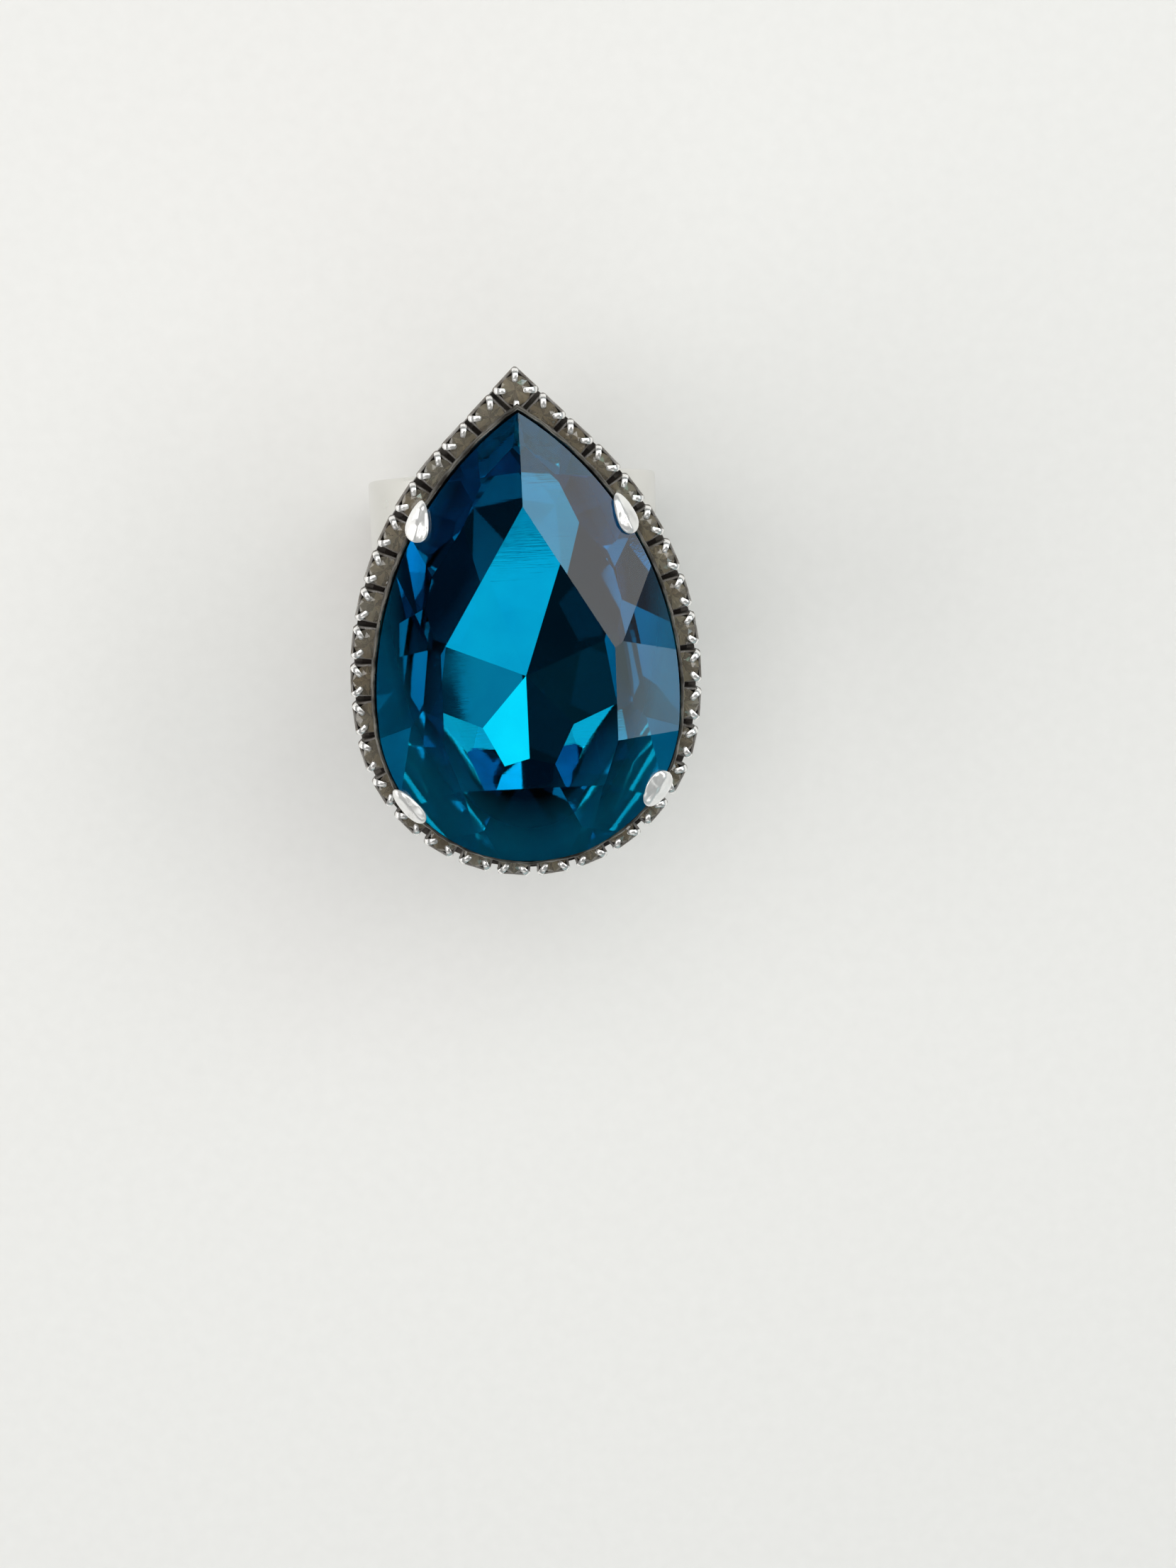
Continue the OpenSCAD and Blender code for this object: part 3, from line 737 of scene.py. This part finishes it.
def cut_stone(form, place):
    """A small brilliant: table, star and kite facets above, pointed foiled facets below."""
    first = len(form.verts)
    table = stone_ring(form, 0.52, stone_crown, 8, 0)
    kites = stone_ring(form, 0.80, 0.20, 8, 0.5)
    edge_top = stone_ring(form, 0.99, 0.045, 16, 0)
    edge_low = stone_ring(form, 0.99, -0.045, 16, 0)
    lower = stone_ring(form, 0.30, -0.66, 8, 0.5)
    point = form.verts.new((0, 0, -0.84))
    tops = [form.faces.new(table)]
    foils = []
    for i in range(8):
        j = (i + 1) % 8
        tops.append(form.faces.new((table[i], kites[i], table[j])))
        tops.append(form.faces.new((table[i], kites[i - 1], edge_top[2 * i], kites[i])))
        tops.append(form.faces.new((kites[i], edge_top[2 * i], edge_top[2 * i + 1])))
        tops.append(form.faces.new((kites[i], edge_top[2 * i + 1], edge_top[(2 * i + 2) % 16])))
        foils.append(form.faces.new((edge_low[2 * i], edge_low[2 * i + 1], lower[i])))
        foils.append(form.faces.new((edge_low[2 * i + 1], edge_low[(2 * i + 2) % 16], lower[i])))
        foils.append(form.faces.new((edge_low[2 * i], lower[i], point, lower[i - 1])))
    for i in range(16):
        j = (i + 1) % 16
        tops.append(form.faces.new((edge_top[i], edge_low[i], edge_low[j], edge_top[j])))
    for face in tops:
        face.material_index = 0
    # Painted reflection pattern: alternate sectors of the foil facets mostly get the near-black foil, and
    # the other sectors mostly get the light foil. Each facet is picked at random within those shares, so
    # each stone shows dark and light petals.
    for i, face in enumerate(foils):
        painted_dark_share = 0.75 if i // 3 % 2 else 0.2
        face.material_index = 2 if hand.random() < painted_dark_share else 1
    form.verts.ensure_lookup_table()
    bmesh.ops.transform(form, matrix=place, verts=form.verts[first:])


hand = random.Random(7)

cup_metal_by_height = bpy.data.materials.new("cup_metal_by_height")
cup_metal_by_height.use_nodes = True
cup_metal_tree = cup_metal_by_height.node_tree
cup_metal_shader = cup_metal_tree.nodes["Principled BSDF"]
cup_metal_shader.inputs["Metallic"].default_value = 0.7
cup_metal_place = cup_metal_tree.nodes.new("ShaderNodeTexCoord")
cup_metal_height = cup_metal_tree.nodes.new("ShaderNodeSeparateXYZ")
cup_metal_cloud = cup_metal_tree.nodes.new("ShaderNodeTexNoise")
cup_metal_cloud.inputs["Scale"].default_value = 1500
cup_metal_cloud.inputs["Detail"].default_value = 4
# The cup metal's colour is set by height. It is near black below the cup's top edge and rises through
# dark brown to near white up the prongs, with noise mixed in. The roughness follows, so the metal is
# shinier higher up.
cup_metal_rise = cup_metal_tree.nodes.new("ShaderNodeMapRange")
cup_metal_rise.inputs["From Min"].default_value = (cup_high - 0.35) * mm
cup_metal_rise.inputs["From Max"].default_value = (stone_z + 0.25) * mm
cup_metal_mix = cup_metal_tree.nodes.new("ShaderNodeMath")
cup_metal_mix.operation = "MULTIPLY_ADD"
cup_metal_mix.inputs[1].default_value = 0.5
cup_metal_tone = cup_metal_tree.nodes.new("ShaderNodeValToRGB")
cup_metal_tone.color_ramp.elements[0].position = 0.30
cup_metal_tone.color_ramp.elements[0].color = (0.035, 0.028, 0.024, 1)
cup_metal_tone.color_ramp.elements[1].position = 1.0
cup_metal_tone.color_ramp.elements[1].color = (0.95, 0.94, 0.92, 1)
cup_metal_tone.color_ramp.elements.new(0.62).color = (0.20, 0.175, 0.15, 1)
cup_metal_sheen = cup_metal_tree.nodes.new("ShaderNodeMapRange")
cup_metal_sheen.inputs["To Min"].default_value = 0.50
cup_metal_sheen.inputs["To Max"].default_value = 0.20
cup_metal_bump = cup_metal_tree.nodes.new("ShaderNodeBump")
cup_metal_bump.inputs["Strength"].default_value = 0.3
cup_metal_bump.inputs["Distance"].default_value = 0.05 * mm
cup_metal_tree.links.new(cup_metal_place.outputs["Object"], cup_metal_height.inputs["Vector"])
cup_metal_tree.links.new(cup_metal_place.outputs["Object"], cup_metal_cloud.inputs["Vector"])
cup_metal_tree.links.new(cup_metal_height.outputs["Z"], cup_metal_rise.inputs["Value"])
cup_metal_tree.links.new(cup_metal_cloud.outputs["Fac"], cup_metal_mix.inputs[0])
cup_metal_tree.links.new(cup_metal_rise.outputs["Result"], cup_metal_mix.inputs[2])
cup_metal_tree.links.new(cup_metal_mix.outputs["Value"], cup_metal_tone.inputs["Fac"])
cup_metal_tree.links.new(cup_metal_mix.outputs["Value"], cup_metal_sheen.inputs["Value"])
cup_metal_tree.links.new(cup_metal_cloud.outputs["Fac"], cup_metal_bump.inputs["Height"])
cup_metal_tree.links.new(cup_metal_tone.outputs["Color"], cup_metal_shader.inputs["Base Color"])
cup_metal_tree.links.new(cup_metal_sheen.outputs["Result"], cup_metal_shader.inputs["Roughness"])
cup_metal_tree.links.new(cup_metal_bump.outputs["Normal"], cup_metal_shader.inputs["Normal"])

smoke_glass = polish("smoke_glass", (0.86, 0.72, 0.52), (0.97, 0.90, 0.74), 0.015, 0.04, 0.05, True)
smoke_shader = smoke_glass.node_tree.nodes["Principled BSDF"]
smoke_shader.inputs["Coat IOR"].default_value = 1.85
smoke_shader.inputs["Transmission Weight"].default_value = 0.87
smoke_foil = polish("smoke_foil", (0.84, 0.76, 0.62), (1.0, 0.95, 0.84), 0.02, 0.08, 0.08, False)
smoke_foil.node_tree.nodes["Principled BSDF"].inputs["Metallic"].default_value = 0.30
# A near-black copy of the foil, used as painted reflection on some of the foil facets.
foil_painted_dark = polish("foil_painted_dark", (0.06, 0.04, 0.03), (0.20, 0.15, 0.11), 0.04, 0.12, 0.08, False)
foil_painted_dark.node_tree.nodes["Principled BSDF"].inputs["Metallic"].default_value = 0.70


def set_cup(cups, side, spot, turn, width, name):
    """Presses one cup in its place, sets its stone and folds its prongs."""
    flip = Matrix.Diagonal((side, 1, 1, 1))
    stand = Matrix.Translation(spot) @ Matrix.Rotation(turn, 4, "Z")
    tilt = Matrix.Rotation(math.radians(hand.uniform(-2, 2)), 4, "X")
    tilt = tilt @ Matrix.Rotation(math.radians(hand.uniform(-2, 2)), 4, "Y")
    press_cup(cups, width, flip @ stand)
    for i in range(4):
        corner = math.pi / 4 + i * math.pi / 2
        outer = 1.0 if i in (0, 3) else 0.0
        tip_in = stone_r - 0.26 - 0.12 * outer + hand.uniform(-0.05, 0.05)
        bend_prong(cups, flip @ stand, corner, hand.uniform(-0.12, 0.12), tip_in)
    stone = bmesh.new()
    spin = Matrix.Rotation(math.radians(hand.uniform(-9, 9)), 4, "Z")
    seat = Matrix.Translation(spot + Vector((0, 0, stone_z))) @ Matrix.Rotation(turn, 4, "Z")
    cut_stone(stone, flip @ seat @ tilt @ spin)
    stone_finishes = [smoke_glass, smoke_foil, foil_painted_dark]
    piece = settle(stone, name + "_stone", stone_finishes, 0)
    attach(piece, "root")
    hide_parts(name)


def finish_cups(cups, name, node):
    piece = settle(cups, name, [cup_metal_by_height], 40)
    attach(piece, "root")
    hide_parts(node)


tip_cup = bmesh.new()
set_cup(tip_cup, 1, Vector((0, halo_tip, 0)), math.pi / 4, cup_depth, "chaton_tip")
finish_cups(tip_cup, "point_cup", "cup_tip")

for side, hand_side in ((-1, "left"), (1, "right")):
    chain = bmesh.new()
    for i in range(1, cups_per_side + 1):
        run = i * cup_pitch
        set_cup(chain, side, halo_spot(run), halo_turn(run), cup_width, "chaton_%s_%02d" % (hand_side, i))
    for i in range(1, cups_per_side):
        run = (i + 0.5) * cup_pitch
        first = len(chain.verts)
        bar = soft_square(0.35, 0.22, 0.08, cup_low + 0.2), soft_square(0.35, 0.22, 0.08, cup_low + 0.55)
        bottom, top = pour(chain, bar)
        chain.faces.new(bottom[::-1])
        chain.faces.new(top)
        chain.verts.ensure_lookup_table()
        place = Matrix.Diagonal((side, 1, 1, 1)) @ Matrix.Translation(halo_spot(run))
        place = place @ Matrix.Rotation(halo_turn(run), 4, "Z")
        bmesh.ops.transform(chain, matrix=place, verts=chain.verts[first:])
    finish_cups(chain, "cups_" + hand_side, "cup_chain_" + hand_side)
